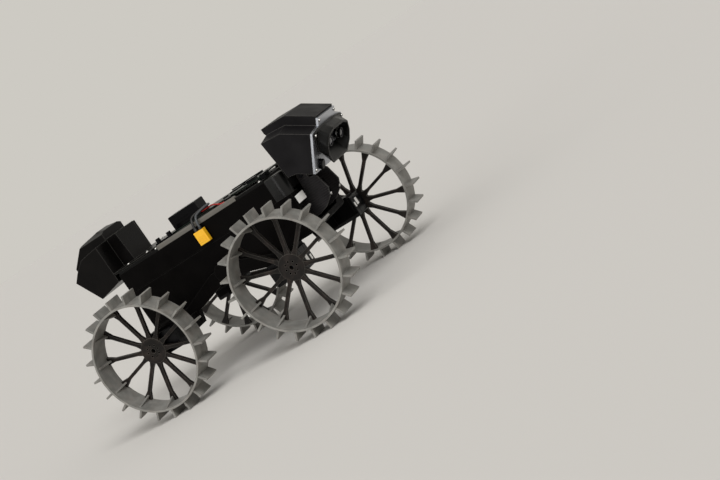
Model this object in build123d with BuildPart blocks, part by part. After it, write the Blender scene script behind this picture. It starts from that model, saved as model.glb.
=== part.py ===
from build123d import *
import os
from math import cos, radians, sin

os.makedirs("parts", exist_ok=True)

# Four-wheeled rover. +X forward, +Y to its left, +Z up, floor at Z = 0, sizes in mm.
MID_X = 0.15                 # middle of the wheelbase
WHEELBASE = 230.0
HULL_HALF = 60.0
HUB_Y = HULL_HALF + 71.0     # hub's outer face from the middle plane

# Wheel
RIM_R = 72.5
RIM_WALL = 2.5
RIM_W = 32.5
DISH = 26.5                  # hub's outer face to the rim's outer edge
GROUSERS = 21
GROUSER_T = 2.5
TIP_R = 84.5
GROUSER_W = 30.0
SPOKES = 12
SPOKE_T = 5.0
HUB_R = 17.0
HUB_T = 6.0
HUB_BORE_R = 3.0
HORN_PCD = 16.0
HORN_HOLES = 8
HORN_HOLE_R = 1.25
RIB_H = 6.0                  # ribs on the rim's inner face, tapering outwards
RIB_T = 2.4
RIB_L = 23.0

# Wheel servo
SERVO_L = 46.5
SERVO_H = 28.5
SERVO_W = 32.5
SERVO_NOSE = 11.25           # horn axis to the servo's nearer end
HORN_R = 11.0
HORN_T = 3.2
HORN_GAP = 0.3
CASE_CHAMFER = 1.2
CASE_GROOVE = 0.6
CRADLE_T = 3.0
CRADLE_REACH = 20.0

# Hull
HULL_REAR = -140.0
HULL_FRONT = 134.5
CORNER_R = 10.0
HULL_BOTTOM = 14.0           # heights are above the axles
SEAM_Z = 70.0
DECK_BED_Z = 99.0
DECK_T = 3.0
UPPER_FRONT = 111.0
SEAM_GROOVE = 1.2
FRAME_T = 3.0
BAY_DEPTH = 40.0
BAY_FLOOR = 22.0
BAY_HALF_LOW = 31.0
BAY_HALF = 40.0
EDGE_CHAMFER = 1.5
VENT_R = 2.4                 # round hole under the nameplate and its twin
VENT_Y = HULL_HALF - 8.0
VENT_Z = 47.5
VENT_DEPTH = 8.0

# Corner columns and nameplate
COLUMN_R = 11.5
COLUMN_X = UPPER_FRONT + COLUMN_R
COLUMN_Y = HULL_HALF - 12.0
PLATE_W = 28.0
PLATE_H = 11.5
PLATE_T = 1.2
PLATE_TOP = 65.0

# Side rockers
ROCKER_T = 8.0
ROCKER_GAP = 2.0
ROCKER_PIVOT_Z = 32.0
ROCKER_BEAM = 16.0
ROCKER_BOSS_R = 13.0
ROCKER_ARM_X = 92.0
ROCKER_FOOT_Z = -10.0
BRACKET_W = 24.0
BRACKET_H = 18.0

# Tail housing
TAIL_WIDE = HULL_HALF - 2.0
TAIL_END_HALF = HULL_HALF - 14.0
TAIL_GAP = 7.0               # from the hull's rear end to the housing's front wall
TAIL_ROOF = 158.0
TAIL_STEP = 12.0
TAIL_RAISED_HALF = 28.0
TAIL_CROWN_HALF = 14.0
TAIL_CROWN = 5.0
TAIL_LINK_HALF = 26.0        # lower front part that stands on the deck
TAIL_LINK_TOP = 147.0
TAIL_LINK_L = 17.0
TAIL_FRONT = -80.0
FLANGE_HALF = HULL_HALF - 2.0
FLANGE_T = 2.5

# Deck fittings
BOARD_REAR = -62.0
BOARD_FRONT = 98.0
BOARD_HALF = 34.0
BOARD_T = 2.0
BOARD_LIFT = 3.0
DUCT_REAR = -69.0            # pale ducts along the deck's edges
DUCT_FRONT = 65.0
DUCT_W = 7.0
DUCT_H = 6.0
DUCT_ROUND = 2.2
BOX_L = 46.0
BOX_W = 25.0
BOX_H = 18.5
BOX_X = -27.0
BOX_Y = -15.5
BAR_L = 22.0
BAR_H = 1.6
BAR_D = 0.8
BAR_BACK = 6.0
STANDOFF_R = 2.5
DECK_HOLE_R = 1.6
DECK_HOLE_X = 40.0
DECK_HOLE_Y = 80.0
DECK_HOLES_AT = 72.0

# Power lead
LEAD_R = 1.6
LEAD_PITCH = 7.2
PLUG_W = 16.0
PLUG_T = 8.0
PLUG_H = 18.0
PLUG_TOP = 93.0
PLUG_GAP = 1.0
RED_R = 0.9
SOCKET_X = 51.0
SOCKET_Y = -(HULL_HALF - 12.5)
SOCKET_L = 10.0
SOCKET_W = 8.0
SOCKET_H = 5.0
TERMINAL_R = 3.2
TERMINAL_H = 10.0

# Neck
NECK_HALF = 21.0
NECK_T = 2.5
TILT_X = 140.0
TILT_Z = 79.0
PIN_R = 2.5
PIN_FIT = 0.05
KNUCKLE_R = 6.5
KNUCKLE_HALF = 12.0
TILT_SERVO_X = 121.0
TILT_SERVO_Z = 48.0
TILT_SERVO_L = 46.0
TILT_SERVO_H = 24.0

# Head
HEAD_X = 197.3               # shoulder's upper front edge
HEAD_Z = 117.4
HEAD_PITCH = 31.5            # nose down
HEAD_HALF = 55.0
RAISED_HALF = 31.0
RAISED_H = 14.0
RAISED_LIP = 2.5             # shell's raised part above the face plate
SHOULDER_RISE = 4.5          # the shoulders' slope up to the raised part
HEAD_H = 50.0
HEAD_PLATE_T = 3.0
HOOD_FLANGE = [(18, 4), (46, 1.4), (54, -2.5), (50, -8), (42, -25), (29, -31)]
HOOD_BASE = [(18, 4), (38, 2), (42, -8), (41, -25), (28, -31)]
HOOD_RIM = [(18, -1), (36, -6), (42, -19), (40, -31), (27, -43.5)]
HOOD_DEPTH = 14.5
HOOD_WALL = 2.5
HOOD_FLANGE_T = 2.0
HOOD_ROUND = 3.0
SENSOR_Y = -36.5
SENSOR_U = -42.0
SENSOR_R = 6.5
SENSOR_H = 5.0
LENS_PITCH = 40.0
LENS_U = -17.5
LENS_R = 6.5
LENS_L = 11.0

PITCH = 360.0 / GROUSERS
AXLE_Z = TIP_R * cos(radians(PITCH / 2)) + GROUSER_T / 2 * sin(radians(PITCH / 2))
RIM_IN_Y = HUB_Y + DISH - RIM_W
CORNERS = [("front_right", 1, -1), ("front_left", 1, 1), ("rear_right", -1, -1), ("rear_left", -1, 1)]
SIDES = [("right", -1), ("left", 1)]


def at(x, z):
    """Place a point given from the wheelbase's middle and the axles' height."""
    return (MID_X + x, AXLE_Z + z)


def upright(x, y, z):
    """Plane whose sketch X is forward and sketch Y is up; a positive extrusion goes to -Y."""
    px, pz = at(x, z)
    return Plane(origin=(px, y, pz), x_dir=(1, 0, 0), z_dir=(0, -1, 0))


def level(z):
    """Horizontal plane at a height above the axles, with X from the wheelbase's middle."""
    px, pz = at(0, z)
    return Plane(origin=(px, 0, pz), x_dir=(1, 0, 0), z_dir=(0, 0, 1))


def radial_plane(x, side, angle):
    """Plane through an axle: sketch X runs out along a spoke, sketch Y away from the middle."""
    px, pz = at(x, 0)
    c, s = cos(radians(angle)), sin(radians(angle))
    return Plane(origin=(px, 0, pz), x_dir=(c, 0, s), z_dir=(-side * s, 0, side * c))


def save(part, name):
    part.label = name
    export_step(part, "parts/" + name + ".step")
    return part


# Wheels: rim with grousers, spoked hub, horn and servo at each corner.
FIRST_SPOKE = -75.0
SPOKE_OUTLINE = [(HUB_R - 3, 4.2), (HUB_R + 7, 2.1), (RIM_R - 14, 2.1), (RIM_R - 2, 5.2)]
RIB_SIDE = [
    (RIM_R - RIM_WALL + 0.5, RIM_IN_Y + SPOKE_T),
    (RIM_R - RIM_WALL - RIB_H, RIM_IN_Y + SPOKE_T),
    (RIM_R - RIM_WALL - 0.5, RIM_IN_Y + SPOKE_T + RIB_L),
    (RIM_R - RIM_WALL + 0.5, RIM_IN_Y + SPOKE_T + RIB_L),
]
for corner, ahead, side in CORNERS:
    wheel_x = ahead * WHEELBASE / 2
    inner = upright(wheel_x, side * RIM_IN_Y, 0)
    outward = -side
    with BuildPart() as rim:
        with BuildSketch(inner):
            Circle(RIM_R)
            Circle(RIM_R - RIM_WALL, mode=Mode.SUBTRACT)
        extrude(amount=outward * RIM_W)
        with BuildSketch(upright(wheel_x, side * (RIM_IN_Y + (RIM_W - GROUSER_W) / 2), 0)):
            with PolarLocations((TIP_R + RIM_R) / 2 - 0.5, GROUSERS, start_angle=-90 + PITCH / 2):
                Rectangle(TIP_R - RIM_R + 1, GROUSER_T)
        extrude(amount=outward * GROUSER_W)
        for spoke in range(SPOKES):
            with BuildSketch(radial_plane(wheel_x, side, FIRST_SPOKE + spoke * 360 / SPOKES)):
                Polygon(*RIB_SIDE, align=None)
            extrude(amount=RIB_T / 2, both=True)
    save(rim.part, "wheel_rim_" + corner)

    with BuildPart() as spider:
        with BuildSketch(inner):
            Circle(HUB_R)
            with PolarLocations(0, SPOKES, start_angle=FIRST_SPOKE):
                Polygon(
                    *[(r, half) for r, half in SPOKE_OUTLINE],
                    *[(r, -half) for r, half in reversed(SPOKE_OUTLINE)],
                    align=None,
                )
            Circle(RIM_R - RIM_WALL, mode=Mode.INTERSECT)
        extrude(amount=outward * SPOKE_T)
        with BuildSketch(inner):
            Circle(HUB_R)
        extrude(amount=outward * HUB_T)
        with BuildSketch(inner):
            Circle(HUB_BORE_R)
            with PolarLocations(HORN_PCD / 2, HORN_HOLES):
                Circle(HORN_HOLE_R)
        extrude(amount=outward * HUB_T, mode=Mode.SUBTRACT)
    save(spider.part, "wheel_hub_" + corner)

    with BuildPart() as horn:
        with BuildSketch(upright(wheel_x, side * (RIM_IN_Y - HORN_T), 0)):
            Circle(HORN_R)
        extrude(amount=outward * HORN_T)
        chamfer(horn.faces().sort_by(Axis.Y)[0 if side > 0 else -1].edges(), 0.6)
    save(horn.part, "servo_horn_" + corner)

    with BuildPart() as servo:
        servo_mid = wheel_x + ahead * (SERVO_NOSE - SERVO_L / 2)
        face_y = RIM_IN_Y - HORN_T - HORN_GAP
        with BuildSketch(upright(servo_mid, side * (face_y - SERVO_W), 0)):
            Rectangle(SERVO_L, SERVO_H)
        extrude(amount=outward * SERVO_W)
        chamfer(servo.edges().filter_by(Axis.Y), CASE_CHAMFER)
        for share in (0.28, 0.74):
            with BuildSketch(upright(servo_mid, side * (face_y - SERVO_W * share), 0)):
                Rectangle(SERVO_L, SERVO_H)
                Rectangle(SERVO_L - 2 * CASE_GROOVE, SERVO_H - 2 * CASE_GROOVE, mode=Mode.SUBTRACT)
            extrude(amount=outward * 0.8, mode=Mode.SUBTRACT)
    save(servo.part, "wheel_servo_" + corner)

# Hull: lower shell with the open front bay, upper shell, deck and front frame.
BAY_OUTLINE = [
    (-BAY_HALF_LOW, BAY_FLOOR),
    (BAY_HALF_LOW, BAY_FLOOR),
    (BAY_HALF, BAY_FLOOR + BAY_HALF - BAY_HALF_LOW),
    (BAY_HALF, SEAM_Z + 5),
    (-BAY_HALF, SEAM_Z + 5),
    (-BAY_HALF, BAY_FLOOR + BAY_HALF - BAY_HALF_LOW),
]
front_plane = Plane(origin=(MID_X + HULL_FRONT, 0, AXLE_Z), x_dir=(0, 1, 0), z_dir=(1, 0, 0))
frame_back = front_plane.offset(-FRAME_T)
for name, kept in (("lower_hull", Keep.BOTTOM), ("front_frame", Keep.TOP)):
    with BuildPart() as shell:
        with BuildSketch(level(HULL_BOTTOM)) as plan:
            with Locations(((HULL_REAR + HULL_FRONT) / 2, 0)):
                Rectangle(HULL_FRONT - HULL_REAR, 2 * HULL_HALF)
            fillet(plan.vertices().group_by(Axis.X)[-1], CORNER_R)
        extrude(amount=SEAM_Z - HULL_BOTTOM)
        chamfer(shell.edges().filter_by(Axis.X).group_by(Axis.Z)[0], 2 * EDGE_CHAMFER)
        with BuildSketch(front_plane):
            Polygon(*BAY_OUTLINE, align=None)
        extrude(amount=-BAY_DEPTH, mode=Mode.SUBTRACT)
        with BuildSketch(front_plane):
            with Locations((VENT_Y, VENT_Z), (-VENT_Y, VENT_Z)):
                Circle(VENT_R)
        extrude(amount=-VENT_DEPTH, mode=Mode.SUBTRACT)
        split(bisect_by=frame_back, keep=kept)
    save(shell.part, name)

with BuildPart() as upper_hull:
    with BuildSketch(level(SEAM_Z)):
        with Locations(((HULL_REAR + UPPER_FRONT) / 2, 0)):
            Rectangle(UPPER_FRONT - HULL_REAR, 2 * HULL_HALF)
    extrude(amount=DECK_BED_Z - SEAM_Z)
    with BuildSketch(level(SEAM_Z)):
        with Locations(((HULL_REAR + UPPER_FRONT) / 2, 0)):
            Rectangle(UPPER_FRONT - HULL_REAR, 2 * HULL_HALF)
            Rectangle(UPPER_FRONT - HULL_REAR, 2 * (HULL_HALF - SEAM_GROOVE), mode=Mode.SUBTRACT)
    extrude(amount=SEAM_GROOVE, mode=Mode.SUBTRACT)
save(upper_hull.part, "upper_hull")

with BuildPart() as deck_plate:
    with BuildSketch(level(DECK_BED_Z)):
        with Locations(((HULL_REAR + UPPER_FRONT) / 2, 0)):
            Rectangle(UPPER_FRONT - HULL_REAR - 2, 2 * HULL_HALF - 2)
        with Locations((DECK_HOLES_AT, 0)):
            with GridLocations(DECK_HOLE_X, DECK_HOLE_Y, 2, 2):
                Circle(DECK_HOLE_R, mode=Mode.SUBTRACT)
        for side in (1, -1):
            with Locations(((DUCT_REAR + DUCT_FRONT) / 2, side * (HULL_HALF - DUCT_W / 2))):
                Rectangle(DUCT_FRONT - DUCT_REAR, DUCT_W, mode=Mode.SUBTRACT)
    extrude(amount=DECK_T)
save(deck_plate.part, "deck_plate")

for side_name, side in SIDES:
    with BuildPart() as duct:
        with BuildSketch(level(DECK_BED_Z)):
            with Locations(((DUCT_REAR + DUCT_FRONT) / 2, side * (HULL_HALF - DUCT_W / 2))):
                Rectangle(DUCT_FRONT - DUCT_REAR, DUCT_W)
        extrude(amount=DUCT_H)
        fillet(duct.faces().sort_by(Axis.Z)[-1].edges(), DUCT_ROUND)
    save(duct.part, "edge_duct_" + side_name)

for side_name, side in SIDES:
    with BuildPart() as column:
        with BuildSketch(level(SEAM_Z)):
            with Locations((COLUMN_X, side * COLUMN_Y)):
                Circle(COLUMN_R)
            with Locations(((UPPER_FRONT + COLUMN_X) / 2, side * COLUMN_Y)):
                Rectangle(COLUMN_X - UPPER_FRONT, 2 * COLUMN_R)
        extrude(amount=DECK_BED_Z - SEAM_Z + 1)
        chamfer(column.faces().sort_by(Axis.Z)[-1].edges(), 1.0)
    save(column.part, "corner_column_" + side_name)

with BuildPart() as nameplate:
    with BuildSketch(front_plane):
        with Locations((-HULL_HALF + PLATE_W / 2, PLATE_TOP - PLATE_H / 2)):
            Rectangle(PLATE_W, PLATE_H)
    extrude(amount=PLATE_T)
save(nameplate.part, "nameplate_block")

# Rockers: an arch on each side of the hull, with a bracket to each servo.
servo_in_y = RIM_IN_Y - HORN_T - HORN_GAP - SERVO_W
ARCH_HALF = [
    (0.0, ROCKER_PIVOT_Z - ROCKER_BEAM / 2),
    (ROCKER_ARM_X - BRACKET_W - 4, ROCKER_PIVOT_Z - ROCKER_BEAM / 2 - 18),
    (ROCKER_ARM_X - BRACKET_W, ROCKER_FOOT_Z),
    (ROCKER_ARM_X, ROCKER_FOOT_Z),
    (ROCKER_ARM_X, ROCKER_FOOT_Z + BRACKET_H + 4),
    (20.0, ROCKER_PIVOT_Z + ROCKER_BEAM / 2 - 2),
]
ARCH = ARCH_HALF + [(-x, z) for x, z in reversed(ARCH_HALF[1:])]
for side_name, side in SIDES:
    with BuildPart() as rocker:
        rocker_in = HULL_HALF + ROCKER_GAP
        with BuildSketch(upright(0, side * rocker_in, 0)):
            Polygon(*ARCH, align=None)
        extrude(amount=-side * ROCKER_T)
        fillet(rocker.edges().filter_by(Axis.Y), 3.0)
        with BuildSketch(upright(0, side * HULL_HALF, ROCKER_PIVOT_Z)):
            Circle(ROCKER_BOSS_R)
        extrude(amount=-side * (ROCKER_GAP + ROCKER_T + 3))
        for ahead in (1, -1):
            with BuildSketch(upright(ahead * (ROCKER_ARM_X - BRACKET_W / 2), side * rocker_in, 0)):
                with Locations((0, ROCKER_FOOT_Z + BRACKET_H / 2)):
                    Rectangle(BRACKET_W, BRACKET_H)
            extrude(amount=-side * (servo_in_y - rocker_in))
            servo_mid = ahead * (WHEELBASE / 2 + SERVO_NOSE - SERVO_L / 2)
            with BuildSketch(upright(servo_mid, side * (servo_in_y - CRADLE_T), 0)):
                with Locations((0, (ROCKER_FOOT_Z + SERVO_H / 2 + CRADLE_T) / 2)):
                    Rectangle(SERVO_L - 6, SERVO_H / 2 + CRADLE_T - ROCKER_FOOT_Z)
            extrude(amount=-side * CRADLE_T)
            with BuildSketch(upright(servo_mid, side * servo_in_y, SERVO_H / 2 + CRADLE_T / 2)):
                Rectangle(SERVO_L - 6, CRADLE_T)
            extrude(amount=-side * CRADLE_REACH)
    save(rocker.part, "rocker_" + side_name)

# Tail housing behind the hull, standing on the deck's rear by its lower front part.
deck_top = DECK_BED_Z + DECK_T
tail_wall = HULL_REAR - TAIL_GAP
TAIL_SIDE = [
    (tail_wall, 92.0),
    (tail_wall, TAIL_ROOF),
    (-161.0, TAIL_ROOF + 3.0),
    (-187.0, TAIL_ROOF - 1.0),
    (-212.0, 135.0),
    (-212.0, 120.0),
    (-188.5, 84.0),
]
TAIL_PLAN = [
    (tail_wall + 1, TAIL_WIDE),
    (-213.0, TAIL_END_HALF),
]
SHOULDER_CUT = [
    (tail_wall + 1, TAIL_ROOF + 20),
    (tail_wall + 1, TAIL_ROOF - TAIL_STEP),
    (-181.0, 142.0),
    (-199.5, 130.5),
    (-212.0, 120.0),
    (-230.0, 110.0),
    (-230.0, TAIL_ROOF + 20),
]
TAIL_LINK = [
    (tail_wall, deck_top),
    (tail_wall, TAIL_LINK_TOP),
    (tail_wall + TAIL_LINK_L, TAIL_LINK_TOP),
    (tail_wall + TAIL_LINK_L + 2.5, deck_top),
]
with BuildPart() as tail:
    with BuildSketch(upright(0, 0, 0)):
        Polygon(*TAIL_SIDE, align=None)
    extrude(amount=TAIL_WIDE, both=True)
    with BuildSketch(level(0)):
        Polygon(
            *[(x, y) for x, y in TAIL_PLAN],
            *[(x, -y) for x, y in reversed(TAIL_PLAN)],
            align=None,
        )
    extrude(amount=200, mode=Mode.INTERSECT)
    for side in (1, -1):
        with BuildSketch(upright(0, side * TAIL_RAISED_HALF, 0)):
            Polygon(*SHOULDER_CUT, align=None)
        extrude(amount=-side * (TAIL_WIDE - TAIL_RAISED_HALF + 5), mode=Mode.SUBTRACT)
        with BuildSketch(Plane(origin=(MID_X + tail_wall, 0, AXLE_Z), x_dir=(0, 1, 0), z_dir=(1, 0, 0))):
            Polygon(
                (side * TAIL_CROWN_HALF, TAIL_ROOF + 2),
                (side * (TAIL_RAISED_HALF + 1), TAIL_ROOF + 2 - TAIL_CROWN),
                (side * (TAIL_RAISED_HALF + 1), TAIL_ROOF + 10),
                (side * TAIL_CROWN_HALF, TAIL_ROOF + 10),
                align=None,
            )
        extrude(amount=-80, mode=Mode.SUBTRACT)
    with BuildSketch(upright(0, 0, 0)):
        Polygon(*TAIL_LINK, align=None)
    extrude(amount=TAIL_LINK_HALF, both=True)
    with BuildSketch(level(deck_top)):
        with Locations(((tail_wall + TAIL_FRONT) / 2, 0)):
            Rectangle(TAIL_FRONT - tail_wall, 2 * FLANGE_HALF)
    extrude(amount=FLANGE_T)
save(tail.part, "tail_housing")

# Deck box on a raised board.
with BuildPart() as board:
    with BuildSketch(level(deck_top + BOARD_LIFT)):
        with Locations(((BOARD_REAR + BOARD_FRONT) / 2, 0)):
            Rectangle(BOARD_FRONT - BOARD_REAR, 2 * BOARD_HALF)
    extrude(amount=BOARD_T)
    with BuildSketch(level(deck_top)):
        with Locations(((BOARD_REAR + BOARD_FRONT) / 2, 0)):
            with GridLocations((BOARD_FRONT - BOARD_REAR) / 2 - 4, 2 * BOARD_HALF - 8, 3, 2):
                Circle(STANDOFF_R)
    extrude(amount=BOARD_LIFT)
save(board.part, "board_tray")

box_floor = deck_top + BOARD_LIFT + BOARD_T
box_near = BOX_Y - BOX_W / 2
box_front = BOX_X + BOX_L / 2
with BuildPart() as deck_box:
    with BuildSketch(level(box_floor)):
        with Locations((BOX_X, BOX_Y)):
            Rectangle(BOX_L, BOX_W)
    extrude(amount=BOX_H)
    chamfer(deck_box.faces().sort_by(Axis.Z)[-1].edges(), 0.8)
    for lift in (BOX_H * 0.31, BOX_H * 0.53):
        with BuildSketch(upright(BOX_X - BAR_BACK, box_near, box_floor + lift)):
            Rectangle(BAR_L, BAR_H)
        extrude(amount=BAR_D)
save(deck_box.part, "deck_box")

# Power plug on its two leads, and a red wire on the deck.
PLUG_X = 0.0
plug_y = -(HULL_HALF + PLUG_GAP + PLUG_T / 2)
with BuildPart() as plug:
    with BuildSketch(level(PLUG_TOP - PLUG_H)):
        with Locations((PLUG_X, plug_y)):
            Rectangle(PLUG_W, PLUG_T)
    extrude(amount=PLUG_H)
    chamfer(plug.edges().filter_by(Axis.Z), 1.2)
save(plug.part, "power_plug")


def cord(name, points, radius):
    """Tube of straight runs and tangent arcs through points given from the wheelbase's middle."""
    path = [Vector(MID_X + x, y, AXLE_Z + z) for x, y, z in points]
    radii = []
    for before, here, after in zip(path, path[1:], path[2:]):
        turn = radians((here - before).get_angle(after - here))
        short = min((here - before).length, (after - here).length)
        radii.append(0.45 * short * cos(turn / 2) / sin(turn / 2))
    print(name, "radii", [round(r, 1) for r in radii])
    with BuildPart() as tube:
        with BuildLine() as route:
            FilletPolyline(*path, radius=radii)
        wire = route.wires()[0]
        with BuildSketch(Plane(origin=wire @ 0, z_dir=wire % 0)):
            Circle(radius)
        sweep(path=wire)
    length = wire.length
    print(name, "length", round(length, 1), "volume", round(tube.part.volume, 1),
          "expected", round(length * 3.14159265 * radius ** 2, 1))
    return save(tube.part, name)


lead_z = box_floor + 5.5
for name, shift, start_y, reach, sway in (
    ("power_lead_black", -LEAD_PITCH / 2, -21.0, 7.0, -2.0),
    ("power_lead_grey", LEAD_PITCH / 2, -13.0, 14.0, 5.0),
):
    cord(
        name,
        [
            (box_front, start_y, lead_z),
            (box_front + reach, start_y, lead_z),
            (PLUG_X + sway, -46.0, lead_z - 0.3),
            (PLUG_X + shift, plug_y, lead_z - 4.0),
            (PLUG_X + shift, plug_y, PLUG_TOP),
        ],
        LEAD_R,
    )
cord(
    "red_wire",
    [
        (box_front, -24.5, box_floor + 2.0),
        (box_front + 12, -24.5, box_floor + 2.0),
        (20.0, -36.0, box_floor + 3.0),
        (31.0, -44.5, box_floor + 0.5),
        (38.0, SOCKET_Y, deck_top + 2.5),
        (SOCKET_X - SOCKET_L / 2, SOCKET_Y, deck_top + 2.5),
    ],
    RED_R,
)
with BuildPart() as deck_socket:
    with BuildSketch(level(deck_top)):
        with Locations((SOCKET_X, SOCKET_Y)):
            Rectangle(SOCKET_L, SOCKET_W)
    extrude(amount=SOCKET_H)
save(deck_socket.part, "deck_socket")

# Connectors on the deck: x, y, base height, length, width, height.
board_top = deck_top + BOARD_LIFT + BOARD_T
terminal_y = -(HULL_HALF - 16.0)
CONNECTORS = [
    (-61.0, terminal_y, deck_top, 27.0, 9.0, 5.0),
    (83.0, -(BOARD_HALF - 6.0), board_top, 14.0, 8.0, 3.5),
    (103.0, -(BOARD_HALF - 4.0), deck_top, 8.0, 14.0, 6.5),
]
TERMINAL_POSTS = [(-70.5, terminal_y), (-51.5, terminal_y)]
with BuildPart() as connectors:
    for x, y, base, length, width, height in CONNECTORS:
        with BuildSketch(level(base)):
            with Locations((x, y)):
                Rectangle(length, width)
        extrude(amount=height)
    with BuildSketch(level(deck_top)):
        with Locations(*TERMINAL_POSTS):
            Circle(TERMINAL_R)
    extrude(amount=TERMINAL_H)
save(connectors.part, "deck_connectors")

# Neck bracket on the bay's back wall, with the tilt servo between its cheeks.
NECK_SIDE = [
    (HULL_FRONT - BAY_DEPTH, 26.0),
    (HULL_FRONT - 1.5, 26.0),
    (145.0, 29.5),
    (157.0, 38.0),
    (162.0, 49.0),
    (161.5, 64.5),
    (155.0, 71.0),
    (TILT_X + KNUCKLE_R, 73.0),
    (TILT_X + KNUCKLE_R, TILT_Z),
    (TILT_X - KNUCKLE_R, TILT_Z),
    (TILT_X - KNUCKLE_R - 1, 62.0),
    (HULL_FRONT - BAY_DEPTH, 60.0),
]
NECK_FRONT = NECK_SIDE[1:5] + [
    (157.5, 68.5),
    (154.5, 68.5),
    (159.0, 63.5),
    (159.5, 49.5),
    (155.0, 39.8),
    (144.0, 32.0),
    (HULL_FRONT - 1.5, 28.6),
]
with BuildPart() as neck:
    for side in (1, -1):
        with BuildSketch(upright(0, side * NECK_HALF, 0)):
            Polygon(*NECK_SIDE, align=None)
            with Locations((TILT_X, TILT_Z)):
                Circle(KNUCKLE_R)
                Circle(PIN_R, mode=Mode.SUBTRACT)
        extrude(amount=side * NECK_T)
    with BuildSketch(upright(0, 0, 0)):
        Polygon(*NECK_FRONT, align=None)
    extrude(amount=NECK_HALF, both=True)
    with BuildSketch(upright(HULL_FRONT - BAY_DEPTH + 1.25, 0, 43.0)):
        Rectangle(2.5, 34.0)
    extrude(amount=NECK_HALF + 7, both=True)
save(neck.part, "neck_bracket")

with BuildPart() as tilt_servo:
    with BuildSketch(upright(TILT_SERVO_X, 0, TILT_SERVO_Z)):
        Rectangle(TILT_SERVO_L, TILT_SERVO_H)
    extrude(amount=NECK_HALF - NECK_T, both=True)
    chamfer(tilt_servo.edges().filter_by(Axis.Y), CASE_CHAMFER)
save(tilt_servo.part, "tilt_servo")

with BuildPart() as tilt_pin:
    with BuildSketch(upright(TILT_X, 0, TILT_Z)):
        Circle(PIN_R)
    extrude(amount=NECK_HALF + 1.5, both=True)
save(tilt_pin.part, "tilt_pin")

# Head, pitched nose down, drawn on a plane along its own side.
back = Vector(-cos(radians(HEAD_PITCH)), 0, sin(radians(HEAD_PITCH)))
rise = Vector(sin(radians(HEAD_PITCH)), 0, cos(radians(HEAD_PITCH)))
head_origin = Vector(MID_X + HEAD_X, 0, AXLE_Z + HEAD_Z)
head_plane = Plane(origin=head_origin, x_dir=back, z_dir=(0, 1, 0))
face_plane = Plane(origin=head_origin, x_dir=(0, 1, 0), z_dir=-back)
SHOULDER_SIDE = [(0, 0), (40, 0), (65, -13), (33, -55), (22, -HEAD_H), (0, -HEAD_H)]
SHOULDER_FOOT = [(0, SHOULDER_RISE), (41, SHOULDER_RISE), (66.5, SHOULDER_RISE - 13)] + SHOULDER_SIDE[3:]
CREST = RAISED_H + RAISED_LIP
RAISED_SIDE = [(0, CREST), (41, CREST), (73, -1.5), (69.5, -7), (50, -20), (0, -20)]
PLATE_FACE = [
    (-HEAD_HALF, -HEAD_H),
    (HEAD_HALF, -HEAD_H),
    (HEAD_HALF, 0),
    (RAISED_HALF, SHOULDER_RISE),
    (RAISED_HALF, RAISED_H),
    (-RAISED_HALF, RAISED_H),
    (-RAISED_HALF, SHOULDER_RISE),
    (-HEAD_HALF, 0),
]
with BuildPart() as head_shell:
    with BuildSketch(head_plane):
        Polygon(*SHOULDER_FOOT, align=None)
    extrude(amount=RAISED_HALF, both=True)
    with BuildSketch(head_plane):
        Polygon(*RAISED_SIDE, align=None)
    extrude(amount=RAISED_HALF, both=True)
    for side in (1, -1):
        with BuildSketch(head_plane.offset(side * RAISED_HALF)):
            Polygon(*SHOULDER_FOOT, align=None)
        with BuildSketch(head_plane.offset(side * HEAD_HALF)):
            Polygon(*SHOULDER_SIDE, align=None)
        loft(ruled=True)
save(head_shell.part, "head_shell")

with BuildPart() as head_plate:
    with BuildSketch(face_plane):
        Polygon(*PLATE_FACE, align=None)
    extrude(amount=HEAD_PLATE_T)
save(head_plate.part, "head_plate")

hood_base_plane = face_plane.offset(HEAD_PLATE_T)
hood_rim_plane = hood_base_plane.offset(HOOD_DEPTH)


def mirrored(half):
    """Close an outline whose right half is given from the top down."""
    return half + [(-y, u) for y, u in reversed(half)]


with BuildPart() as hood:
    for plane, half in ((hood_base_plane, HOOD_BASE), (hood_rim_plane, HOOD_RIM)):
        with BuildSketch(plane) as mouth:
            Polygon(*mirrored(half), align=None)
            fillet(mouth.vertices(), HOOD_ROUND)
    loft()
    with BuildSketch(hood_base_plane) as flange:
        Polygon(*mirrored(HOOD_FLANGE), align=None)
        fillet(flange.vertices(), HOOD_ROUND / 2)
    extrude(amount=HOOD_FLANGE_T)
    for plane, half in ((hood_base_plane, HOOD_BASE), (hood_rim_plane, HOOD_RIM)):
        with BuildSketch(plane):
            Polygon(*mirrored(half), align=None)
            offset(amount=-HOOD_WALL, kind=Kind.INTERSECTION)
    loft(mode=Mode.SUBTRACT)
save(hood.part, "lens_hood")

with BuildPart() as sensor:
    with BuildSketch(hood_base_plane):
        with Locations((SENSOR_Y, SENSOR_U)):
            Circle(SENSOR_R)
    extrude(amount=SENSOR_H)
    chamfer(sensor.edges().filter_by(GeomType.CIRCLE).sort_by(Axis.X)[-1], 1.0)
save(sensor.part, "round_sensor")

with BuildPart() as cameras:
    with BuildSketch(hood_base_plane):
        with Locations((-LENS_PITCH / 2, LENS_U), (LENS_PITCH / 2, LENS_U)):
            Circle(LENS_R)
    extrude(amount=LENS_L)
save(cameras.part, "camera_barrels")

with BuildPart() as lenses:
    with BuildSketch(hood_base_plane.offset(LENS_L)):
        with Locations((-LENS_PITCH / 2, LENS_U), (LENS_PITCH / 2, LENS_U)):
            Circle(LENS_R - 1.5)
    extrude(amount=1.0)
save(lenses.part, "camera_lenses")

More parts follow.
